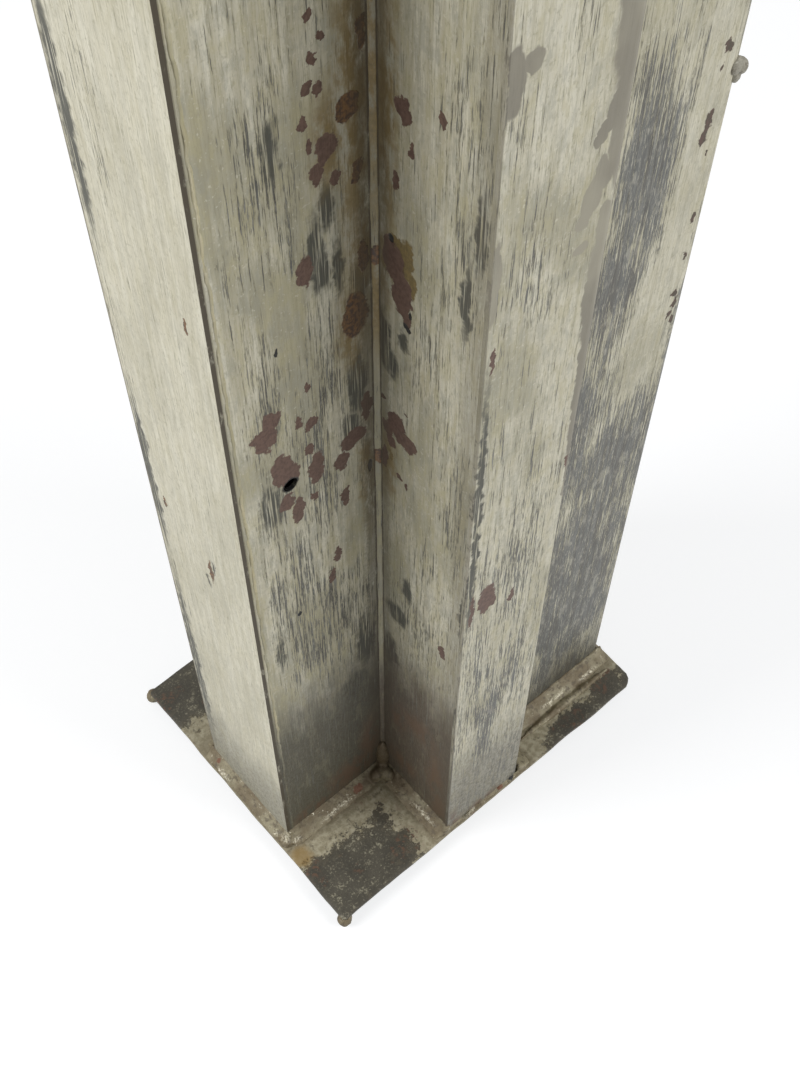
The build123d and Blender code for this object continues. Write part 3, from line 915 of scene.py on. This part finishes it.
# %% Plate finish
def plate_finish():
    plate = Finish("plate_steel_finish")
    plate.seed = 51.0
    torn = plate.ragged(2.4, 2.6)
    fine = plate.grain(0.5, 0.5, 4.0, 0.65)
    small = plate.grain(1.4, 1.4, 4.0, 0.6)
    wide = plate.grain(9.0, 9.0, 3.0, 0.5)
    flake = plate.grain(2.2, 2.2, 5.0, 0.72)

    colour = plate.washed(tint(78, 74, 63), (
        (wide, 0.35, 0.65, 1.0, tint(60, 57, 48)),
        (flake, 0.50, 0.66, 0.45, tint(94, 87, 71)),
        (fine, 0.57, 0.68, 0.65, tint(128, 124, 108)),
    ))
    light = plate.math("MULTIPLY", plate.ease(flake, 0.53, 0.60), plate.ease(fine, 0.44, 0.56))
    light = plate.math("MULTIPLY", light, plate.ease(wide, 0.56, 0.44, 0.85))
    colour = plate.blend(light, colour, tint(150, 146, 126))
    colour = plate.blend(plate.ease(fine, 0.42, 0.32, 0.7), colour, tint(50, 46, 39))

    # distance from the column's foot, face by face
    torn_axes = plate.node("ShaderNodeSeparateXYZ")
    plate.feed(torn, torn_axes.inputs[0])
    tx, ty = torn_axes.outputs[0], torn_axes.outputs[1]
    side = plate.math("ABSOLUTE", ty)

    def gap(low_x, high_x, half_y):
        left_by = plate.math("SUBTRACT", low_x, tx)
        right_by = plate.math("SUBTRACT", tx, high_x)
        out_x = plate.math("MAXIMUM", left_by, right_by)
        return plate.math("MAXIMUM", out_x, plate.math("SUBTRACT", side, half_y))

    away = plate.math("MINIMUM", gap(X_STRIP, X_STEP, Y_ARM), gap(X_CORNER, X_STEP, Y_CROSS))
    away = plate.math("MINIMUM", away, gap(X_STEP - 5.0, X_END, Y_BOX))
    drift = plate.about(wide, 12.0, away)
    drift = plate.about(flake, 14.0, drift)
    drift = plate.about(fine, 4.0, drift)
    # the crust breaks up into islands towards the right-hand edge
    drift = plate.math("ADD", drift, plate.ease(tx, 14.0, 30.0, 2.6))
    crust = plate.ease(drift, 10.4, 9.4)
    thin = plate.ease(drift, 13.0, 9.0, 0.45)
    crust_colour = plate.washed(tint(138, 130, 106), (
        (small, 0.35, 0.65, 1.0, tint(170, 163, 140)),
        (flake, 0.54, 0.66, 0.7, tint(92, 82, 64)),
        (away, 5.6, 4.0, 0.5, tint(112, 101, 78)),
    ))
    colour = plate.blend(thin, colour, tint(104, 96, 78))
    colour = plate.blend(crust, colour, crust_colour)
    rust = plate.math("MULTIPLY", plate.ease(wide, 0.56, 0.64), plate.ease(small, 0.48, 0.60, 0.7))
    colour = plate.blend(rust, colour, tint(104, 76, 58))
    gold = plate.spots([(-48.2, -21.5, 2.4, 2.6), (-48.7, 12.4, 0.8, 0.8)], "plan", torn, 0.4)
    colour = plate.blend(plate.math("MULTIPLY", gold, 0.75), colour, tint(140, 114, 64))
    height = plate.math("MULTIPLY_ADD", crust, 1.6, plate.math("MULTIPLY", small, 0.8))
    height = plate.math("MULTIPLY_ADD", fine, 0.5, height)
    return plate.finish(colour, plate.math("MULTIPLY_ADD", fine, 0.3, 0.45), 0.12, height, 0.12)


plate_paint = plate_finish()

# %% [markdown]
# ## Solder
# Soft solder dulls to grey with flux burnt olive and brown in the hollows, and it stays
# bright where something has knocked it. The bright spots at listed places are painted
# highlights on the lumps and along the crests of the runs.


# %% Solder finish
# spots seen from above: x, y, half size along x, half size along y; the first list holds painted
# highlights
LUMP_HIGHLIGHTS = [
    (-9.2, -40.2, 1.5, 0.9), (-7.2, -40.4, 0.7, 0.5), (-48.6, -15.6, 0.9, 1.4),
    (-49.4, -12.6, 0.6, 1), (-46.6, -17.4, 1.2, 0.5), (-33, -17.8, 5, 0.5),
    (-17.8, -33, 0.5, 3.8), (30, -31.4, 4, 0.4), (42, -31.8, 3, 0.4),
    (-49.8, 9, 0.5, 2.4),
]
RUST_LUMPS = [(2, -40.4, 1, 0.7), (-48.6, 12.4, 0.5, 0.6), (-26, -17, 1.6, 0.8)]
BLACK_LUMPS = [(5.9, -40.3, 1, 0.7)]
BROWN_LUMPS = [(-17.4, -16.6, 2.2, 2.2), (-22, -17, 3, 1.4), (-17, -22, 1.2, 3)]


def solder_finish(name, seed, grey, dull, bright):
    solder = Finish(name)
    solder.seed = seed
    torn = solder.ragged(1.1, 1.9)
    fine = solder.grain(0.45, 0.45, 4.0, 0.65)
    small = solder.grain(1.5, 1.5, 3.0, 0.6)
    wide = solder.grain(6.0, 6.0, 3.0, 0.5)
    colour = solder.washed(grey, (
        (wide, 0.38, 0.62, 1.0, dull),
        (small, 0.50, 0.66, 0.75, tint(84, 74, 58)),
        (fine, 0.58, 0.70, 0.6, tint(60, 54, 44)),
    ))
    knocks_and_highlights = solder.math("MULTIPLY", solder.ease(small, 0.40, 0.30), solder.ease(fine, 0.50, 0.40))
    # painted highlights: bright spots at the listed places on lumps and along the runs' crests
    painted_highlight = solder.spots(LUMP_HIGHLIGHTS, "plan", torn, 0.5)
    painted_highlight = solder.math("MULTIPLY", painted_highlight, solder.ease(fine, 0.60, 0.42, 0.75))
    knocks_and_highlights = solder.math("MAXIMUM", knocks_and_highlights, painted_highlight)
    colour = solder.blend(knocks_and_highlights, colour, bright)
    burnt = solder.math("MULTIPLY", solder.spots(BROWN_LUMPS, "plan", torn, 0.6), 0.8)
    colour = solder.blend(burnt, colour, tint(84, 70, 48))
    colour = solder.blend(solder.spots(RUST_LUMPS, "plan", torn, 0.2), colour, tint(112, 76, 54))
    colour = solder.blend(solder.spots(BLACK_LUMPS, "plan", torn, 0.2), colour, NEAR_BLACK)
    rough = solder.math("MULTIPLY_ADD", knocks_and_highlights, -0.25, 0.55)
    metal = solder.math("MULTIPLY_ADD", knocks_and_highlights, 0.5, 0.15)
    height = solder.math("MULTIPLY_ADD", fine, 0.6, small)
    return solder.finish(colour, rough, metal, height, 0.25)


foot_solder_paint = solder_finish(
    "foot_solder_finish", 61.0, tint(146, 138, 113), tint(114, 102, 78), tint(190, 185, 166),
)
# The drip's colours are paler than the foot solder's: partly a painted highlight on its glassy
# bead.
drip_solder_paint = solder_finish(
    "drip_solder_finish", 64.0, tint(150, 146, 132), tint(104, 92, 72), tint(214, 211, 198),
)
# The beads' cream is darker than the faces', and the two stains darken it towards the top: painted
# shade in the inner corners.
corner_solder_paint = cream_paint(
    "painted_bead_finish", True, X_CORNER, cream=tint(176, 170, 148), shade=tint(138, 130, 104),
    wear=0.20, uneven=0.4, wash=0.8, foot=FOOT_BROWN, foot_height=60.0, seed=67.0,
    stains=[(-0.4, 250, 2, 42), (-0.4, 190, 2, 12)],
    dark_chips=[(-0.4, 200, 1.2, 2), (-0.4, 146, 1, 2.4)],
)

# %% [markdown]
# ## Bare steel inside
# The stiffeners, diaphragms and tabs were never painted. They show brushed grey steel with
# a little rust bloom, seen only when the mast is taken apart.


# %% Bare steel finish
def bare_steel_finish():
    steel = Finish("bare_steel_finish")
    steel.seed = 71.0
    fine = steel.grain(0.3, 8.0, 3.0, 0.6)
    bloom = steel.grain(3.0, 3.0, 4.0, 0.6)
    colour = steel.washed(tint(120, 120, 116), (
        (fine, 0.35, 0.65, 1.0, tint(152, 151, 146)),
        (bloom, 0.56, 0.68, 0.8, tint(124, 92, 66)),
    ))
    rough = steel.math("MULTIPLY_ADD", bloom, 0.5, 0.2)
    return steel.finish(colour, rough, 0.55, steel.math("ADD", fine, bloom), 0.03)


bare_steel_paint = bare_steel_finish()

# %% [markdown]
# ## Tools for the modelled pieces
# Poured and brushed matter has no flat faces, so each such piece is made the same way: rough
# solids are laid where it lies, joined, remeshed into one skin and pushed about with cloud
# noise. Sculpting by hand would look as good, but could not be run again.

# %% Modelling kit
import bmesh


def start_box(low, high):
    """A box between two corners in millimetres, with its place in its mesh."""
    bpy.ops.object.select_all(action="DESELECT")
    centre = [(a + b) / 2.0 * MM for a, b in zip(low, high)]
    bpy.ops.mesh.primitive_cube_add(size=1.0, location=centre)
    piece = bpy.context.object
    piece.scale = [(b - a) * MM for a, b in zip(low, high)]
    bpy.ops.object.transform_apply(location=True, rotation=True, scale=True)
    return piece


def start_ball(centre, radii):
    """A ball in millimetres, squashed to three radii."""
    bpy.ops.object.select_all(action="DESELECT")
    place = [v * MM for v in centre]
    bpy.ops.mesh.primitive_ico_sphere_add(subdivisions=4, radius=MM, location=place)
    piece = bpy.context.object
    piece.scale = radii
    bpy.ops.object.transform_apply(location=True, rotation=True, scale=True)
    return piece


def bevel_edge(piece, towards, percent, segments, profile):
    """Bevels the one edge of a box that lies furthest in a direction."""
    bpy.ops.object.mode_set(mode="EDIT")
    bpy.ops.mesh.select_mode(type="EDGE")
    bpy.ops.mesh.select_all(action="DESELECT")
    mesh = bmesh.from_edit_mesh(piece.data)
    mesh.edges.ensure_lookup_table()
    middles = [(edge.verts[0].co + edge.verts[1].co) / 2.0 for edge in mesh.edges]
    far = [middle.dot(Vector(towards)) for middle in middles]
    mesh.edges[far.index(max(far))].select_set(True)
    bmesh.update_edit_mesh(piece.data)
    bpy.ops.mesh.bevel(
        offset_type="PERCENT", offset_pct=percent, segments=segments, profile=profile,
    )
    bpy.ops.object.mode_set(mode="OBJECT")
    return piece


def hollow_run(low, high, out_x=0.0, out_y=0.0, reach=90.0):
    """A solder run: a box whose outer top edge is bevelled to a hollow."""
    return bevel_edge(start_box(low, high), (out_x, out_y, 1.0), reach, 6, 0.22)


def join_as(name, parts):
    bpy.ops.object.select_all(action="DESELECT")
    for part in parts:
        part.select_set(True)
    bpy.context.view_layer.objects.active = parts[0]
    if len(parts) > 1:
        bpy.ops.object.join()
    piece = bpy.context.object
    piece.name = name
    piece.data.name = name
    return piece


def apply_modifier(piece, kind, **settings):
    modifier = piece.modifiers.new(kind.lower(), kind)
    for key, value in settings.items():
        setattr(modifier, key, value)
    bpy.context.view_layer.objects.active = piece
    bpy.ops.object.modifier_apply(modifier=modifier.name)


def lumpy(piece, size, amount, direction="NORMAL"):
    """Pushes the skin in and out by cloud noise. size and amount are in millimetres."""
    clouds = bpy.data.textures.new(piece.name + "_clouds", "CLOUDS")
    clouds.noise_scale = size * MM
    clouds.noise_depth = 2
    apply_modifier(
        piece, "DISPLACE", texture=clouds, strength=amount * MM, mid_level=0.5,
        direction=direction, texture_coords="LOCAL",
    )


def settle(piece, finish, stands_for=(), angle=60.0):
    """Smooth shading, the finish, and the calls that place it in the frame."""
    bpy.ops.object.select_all(action="DESELECT")
    piece.select_set(True)
    bpy.context.view_layer.objects.active = piece
    bpy.ops.object.shade_smooth_by_angle(angle=math.radians(angle))
    piece.data.materials.clear()
    piece.data.materials.append(finish)
    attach(piece, "root")
    if stands_for:
        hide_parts(*stands_for)
    print(piece.name, "has", len(piece.data.polygons), "faces")


print("modelling kit ready")

# %% [markdown]
# ## Solder run round the foot
# The column is soldered to the plate all round. Real solder wets both sheets, so a run has a
# hollow face, an uneven toe and lumps where the iron lingered. Each run starts as a box along
# the joint, and its outer top edge is bevelled hollow. A plain extruded fillet would look
# machined.

# %% Foot solder
SOLDER_LEG = 4.0
SOLDER_RISE = 3.0
NARROW_RISE = 1.6
BITE = 0.35
LEFT_TOE = plate_low[0] + 0.2
FRONT_TOE = -plate_low[1] - 0.2
RIGHT_TOE = plate_high[0] - 0.2
FOOT = PLATE_TOP - 0.3
RISE_TOP = PLATE_TOP + SOLDER_RISE
NARROW_TOP = PLATE_TOP + NARROW_RISE


def poured(name, parts, stands_for, voxel=0.34, lump=0.75, fine=0.34):
    """Runs and lumps melted together into one skin of solder."""
    piece = join_as(name, parts)
    apply_modifier(piece, "REMESH", mode="VOXEL", voxel_size=voxel * MM)
    apply_modifier(piece, "SMOOTH", factor=0.5, iterations=2)
    lumpy(piece, 3.4, lump)
    lumpy(piece, 1.1, fine)
    apply_modifier(piece, "SMOOTH", factor=0.5, iterations=1)
    settle(piece, foot_solder_paint, stands_for)
    return piece


def arm_runs(side):
    """Runs along one side of the left arm. side is -1 for the front and 1 for the rear."""
    near, far = sorted((side * (Y_ARM - BITE), side * (Y_ARM + SOLDER_LEG)))
    return hollow_run(
        (X_STRIP - 0.2, near, FOOT), (X_CORNER + BITE, far, RISE_TOP), out_y=float(side),
    )


left_parts = [
    hollow_run((LEFT_TOE, -Y_ARM - 1.5, FOOT), (X_STRIP + BITE, Y_ARM + 1.5, RISE_TOP), out_x=-1.0),
    arm_runs(-1),
    arm_runs(1),
    start_ball((X_STRIP - 1.6, -Y_ARM + 1.8, PLATE_TOP + 0.6), (1.5, 1.9, 1.0)),
    start_ball((X_STRIP - 0.8, -Y_ARM - 1.2, PLATE_TOP + 0.5), (1.7, 1.4, 1.3)),
    start_ball((X_STRIP - 1.5, 7.0, PLATE_TOP + 0.4), (1.3, 2.4, 0.8)),
    start_ball((X_CORNER - 0.6, -Y_ARM - 0.6, PLATE_TOP + 5.0), (1.9, 1.9, 9.0)),
    start_ball((X_CORNER - 3.4, -Y_ARM - 2.4, PLATE_TOP + 1.6), (2.8, 2.0, 2.2)),
    start_ball((X_CORNER - 1.8, -Y_ARM - 3.6, PLATE_TOP + 1.4), (1.8, 2.6, 2.0)),
]
poured("left_arm_solder_run", left_parts, ["foot_solder_left_arm"])

# %% [markdown]
# The front and the rear arm stand on three runs each, one for every side that is free. The
# same function makes both, mirrored about the middle of the mast.


# %% Foot solder of the front and rear arms
def cross_runs(side):
    """The three runs round a front or rear arm. side is -1 for the front, 1 for the rear."""
    inner, outer = sorted((side * (Y_ARM + 0.2), side * (Y_CROSS + 0.3)))
    left = hollow_run(
        (X_CORNER - SOLDER_LEG, inner, FOOT), (X_CORNER + BITE, outer, RISE_TOP), out_x=-1.0,
    )
    low_y, high_y = sorted((side * (Y_CROSS - BITE), side * FRONT_TOE))
    end = hollow_run(
        (X_CORNER - 1.0, low_y, FOOT), (X_STEP + 1.0, high_y, NARROW_TOP), out_y=float(side),
    )
    low_y, high_y = sorted((side * (Y_BOX + 0.2), side * (Y_CROSS + 0.2)))
    right = hollow_run(
        (X_STEP - BITE, low_y, FOOT), (X_STEP + SOLDER_LEG, high_y, RISE_TOP), out_x=1.0,
    )
    return [left, end, right]


front_lumps = [
    start_ball((-9.0, -Y_CROSS - 0.1, PLATE_TOP + 0.7), (2.0, 0.9, 1.1)),
    start_ball((-4.6, -Y_CROSS - 0.1, PLATE_TOP + 0.4), (1.7, 0.8, 0.8)),
    start_ball((2.2, -Y_CROSS - 0.1, PLATE_TOP + 0.6), (1.2, 0.9, 0.9)),
    start_ball((5.9, -Y_CROSS - 0.1, PLATE_TOP + 0.5), (1.1, 0.8, 0.8)),
    start_ball((X_CORNER - 0.7, -Y_CROSS + 0.4, PLATE_TOP + 0.6), (1.4, 1.2, 1.3)),
]
poured("front_arm_solder_run", cross_runs(-1) + front_lumps, ["foot_solder_front_arm"])
rear_lumps = [
    start_ball((-3.0, Y_CROSS + 0.1, PLATE_TOP + 0.5), (2.2, 0.9, 0.9)),
    start_ball((X_CORNER - 1.2, Y_ARM + 1.2, PLATE_TOP + 3.0), (1.5, 1.5, 3.4)),
]
poured("rear_arm_solder_run", cross_runs(1) + rear_lumps, ["foot_solder_rear_arm"])


# %% [markdown]
# The right box was soldered in two passes, so a second ridge lies beside the first.

# %% Foot solder of the right box
def box_runs(side):
    near, far = sorted((side * (Y_BOX - BITE), side * (Y_BOX + SOLDER_LEG)))
    first = hollow_run(
        (X_STEP - 0.2, near, FOOT), (X_END + 0.4, far, RISE_TOP), out_y=float(side), reach=84.0,
    )
    ridge_x = (X_STEP + X_END) / 2.0 + 2.0
    second = start_ball((ridge_x, side * (Y_BOX + 5.4), PLATE_TOP), (17.0, 1.1, 1.0))
    return [first, second]


box_end = hollow_run(
    (X_END - BITE, -Y_BOX - 0.6, FOOT), (RIGHT_TOE, Y_BOX + 0.6, NARROW_TOP), out_x=1.0,
)
poured("right_box_solder_run", box_runs(-1) + box_runs(1) + [box_end], ["foot_solder_right_box"])

# %% [markdown]
# ## Solder up the corners
# Where an arm meets the next one, a thin bead of solder runs the full height. It was wiped
# while soft, so it is shallow and slightly wavy, and paint covers most of it.

# %% Corner beads
BEAD_BITE = 0.25


def corner_bead(side_x, side_y):
    """One bead. side_y is -1 for the front, and side_x is -1 for the recess."""
    place = ("front" if side_y < 0 else "rear") + ("_left" if side_x < 0 else "_right")
    node = "corner_solder_" + place
    low, high = span(node)
    # from a little inside the corner to the bead's own toe, both ways
    for axis, side in ((0, side_x), (1, side_y)):
        corner = high[axis] if side < 0 else low[axis]
        low[axis], high[axis] = sorted((corner - side * BEAD_BITE, corner + side * BEAD_LEG))
    low[2] = PLATE_TOP + 1.0
    high[2] = COLUMN_TOP
    piece = bevel_edge(start_box(low, high), (side_x, side_y, 0.0), 78.0, 4, 0.3)
    piece = join_as(place + "_corner_bead", [piece])
    apply_modifier(piece, "REMESH", mode="VOXEL", voxel_size=0.28 * MM)
    lumpy(piece, 7.0, 0.4)
    apply_modifier(piece, "SMOOTH", factor=0.5, iterations=1)
    settle(piece, corner_solder_paint, [node])


for side_y in (-1.0, 1.0):
    for side_x in (-1.0, 1.0):
        corner_bead(side_x, side_y)

# %% [markdown]
# ## Base plate
# The plate was cut by hand with snips, so its edges wander a little and the sheet is not
# dead flat. A grid is extruded to the sheet's thickness, one corner is trimmed round with
# three cuts, and cloud noise moves it by a few tenths of a millimetre.

# %% Model the plate
WORN_CORNER = 3.5
EASED_CORNER = 1.0


def trim_corner(piece, side_x, side_y, radius):
    """Cuts a corner of the plate to an arc of that radius with three straight cuts."""
    centre_x = side_x * (plate_high[0] - radius)
    centre_y = side_y * (plate_high[1] - radius)
    for angle in (22.5, 45.0, 67.5):
        across = side_x * math.cos(math.radians(angle))
        along = side_y * math.sin(math.radians(angle))
        bpy.ops.mesh.select_all(action="SELECT")
        bpy.ops.mesh.bisect(
            plane_co=((centre_x + across * radius) * MM, (centre_y + along * radius) * MM, 0.0),
            plane_no=(across, along, 0.0), clear_outer=True, use_fill=True,
        )


bpy.ops.object.select_all(action="DESELECT")
bpy.ops.mesh.primitive_grid_add(
    x_subdivisions=76, y_subdivisions=62, size=1.0, location=(0.0, 0.0, PLATE_TOP * MM),
)
plate = bpy.context.object
plate.scale = ((plate_high[0] - plate_low[0]) * MM, (plate_high[1] - plate_low[1]) * MM, 1.0)
bpy.ops.object.transform_apply(location=True, rotation=True, scale=True)
bpy.ops.object.mode_set(mode="EDIT")
bpy.ops.mesh.select_all(action="SELECT")
thickness = (plate_high[2] - plate_low[2]) * MM
bpy.ops.mesh.extrude_region_move(TRANSFORM_OT_translate={"value": (0.0, 0.0, -thickness)})
trim_corner(plate, 1.0, -1.0, WORN_CORNER)
trim_corner(plate, 1.0, 1.0, EASED_CORNER)
trim_corner(plate, -1.0, 1.0, EASED_CORNER)
trim_corner(plate, -1.0, -1.0, EASED_CORNER)
bpy.ops.mesh.select_all(action="SELECT")
bpy.ops.mesh.normals_make_consistent(inside=False)
bpy.ops.object.mode_set(mode="OBJECT")
plate = join_as("snipped_base_plate", [plate])
lumpy(plate, 11.0, 0.7, "X")
lumpy(plate, 13.0, 0.7, "Y")
lumpy(plate, 17.0, 0.3, "Z")
apply_modifier(plate, "BEVEL", width=0.14 * MM, segments=2, limit_method="ANGLE")
settle(plate, plate_paint, ["base_plate"], 35.0)

# %% [markdown]
# ## Corner feet
# The mast stands on four balls of solder run on under the plate's corners. No two are the
# same, so each ball is dented by noise at its own place, and its top is pressed flat where
# it meets the plate.

# %% Model the feet
feet_high = span("corner_feet")[1]
FOOT_RADIUS = 1.9
FOOT_X = feet_high[0] - 2.0
FOOT_Y = feet_high[1] - 2.0
WORN_SHIFT = 4.0
feet_places = (
    (-FOOT_X, -FOOT_Y), (FOOT_X - WORN_SHIFT, -FOOT_Y + WORN_SHIFT),
    (-FOOT_X, FOOT_Y), (FOOT_X, FOOT_Y),
)
feet_parts = []
for foot_x, foot_y in feet_places:
    ball = start_ball((foot_x, foot_y, FOOT_RADIUS + 0.1), (FOOT_RADIUS, FOOT_RADIUS, FOOT_RADIUS))
    bpy.ops.object.mode_set(mode="EDIT")
    bpy.ops.mesh.select_all(action="SELECT")
    bpy.ops.mesh.bisect(
        plane_co=(0.0, 0.0, (plate_low[2] + 0.3) * MM), plane_no=(0.0, 0.0, 1.0),
        clear_outer=True, use_fill=True,
    )
    bpy.ops.object.mode_set(mode="OBJECT")
    feet_parts.append(ball)
feet = join_as("solder_ball_feet", feet_parts)
lumpy(feet, 1.7, 0.5)
lumpy(feet, 0.6, 0.16)
settle(feet, foot_solder_paint, ["corner_feet"], 50.0)

# %% [markdown]
# ## Frozen drip
# One bead of solder ran down the right box's folded edge and froze there with a small peak.

# %% Model the drip
drip_centre = [(a + b) / 2.0 for a, b in zip(drip_low, drip_high)]
drip_x, drip_y, drip_z = drip_centre
drip_parts = [
    start_ball((drip_x + 0.5, drip_y - 0.2, drip_z), (1.5, 1.4, 1.5)),
    start_ball((drip_x - 0.9, drip_y - 0.5, drip_z + 0.9), (1.3, 0.8, 1.9)),
    start_ball((drip_x - 0.3, drip_y - 0.4, drip_z - 1.6), (1.0, 0.8, 1.3)),
]
drip = join_as("frozen_drip", drip_parts)
apply_modifier(drip, "REMESH", mode="VOXEL", voxel_size=0.16 * MM)
lumpy(drip, 1.2, 0.3)
apply_modifier(drip, "SMOOTH", factor=0.5, iterations=3)
settle(drip, drip_solder_paint, ["solder_drip"])

# %% [markdown]
# ## Paint gathered along the strip's edge
# Paint pooled in the step beside the end strip. It dried as a thicker, yellower bead with
# soft bulges. It starts as a flat bar in the step, and noise widens and swells it.

# %% Model the paint beads
def paint_bead(name, side):
    near, far = sorted((side * (Y_ARM - 0.2), side * (Y_ARM + 0.12)))
    bar = start_box((X_STRIP + 1.35, near, PLATE_TOP + 3.0), (X_STRIP + 2.3, far, COLUMN_TOP - 0.2))
    bar = join_as(name, [bar])
    apply_modifier(bar, "REMESH", mode="VOXEL", voxel_size=0.26 * MM)
    lumpy(bar, 4.4, 0.9, "X")
    lumpy(bar, 2.8, 0.40, "Y")
    apply_modifier(bar, "SMOOTH", factor=0.5, iterations=4)
    settle(bar, bead_paint)


bead_paint = cream_paint(
    "pooled_paint", True, cream=tint(202, 196, 172), shade=tint(184, 172, 132),
    wear=0.04, uneven=0.2, wash=0.6, foot=FOOT_GREEN, foot_height=60.0, seed=81.0,
)
paint_bead("front_strip_paint_bead", -1)
paint_bead("rear_strip_paint_bead", 1)

# %% [markdown]
# ## Give every frame node its finish
# A node's own mesh is never touched. Its material slots are simply pointed at the finishes.

# %% Assign finishes
FINISH_OF = {
    "left_arm_front_panel": left_front_paint,
    "left_arm_rear_panel": rear_left_paint,
    "left_arm_end_strip": end_strip_paint,
    "front_arm_left_panel": cross_left_paint,
    "front_arm_angle": cross_front_paint,
    "rear_arm_left_panel": rear_cross_left_paint,
    "rear_arm_angle": rear_cross_paint,
    "right_box_front_angle": box_front_paint,
    "right_box_rear_angle": rear_box_paint,
    "top_cap": cap_paint,
    "base_plate": plate_paint,
    "corner_feet": foot_solder_paint,
    "solder_drip": drip_solder_paint,
}
for node_name, node_object in nodes.items():
    chosen = FINISH_OF.get(node_name)
    if chosen is None and "corner_solder" in node_name:
        chosen = corner_solder_paint
    if chosen is None and "foot_solder" in node_name:
        chosen = foot_solder_paint
    if chosen is None:
        chosen = bare_steel_paint
    for slot in node_object.material_slots:
        slot.material = chosen
print("finishes assigned to", len(nodes), "nodes")
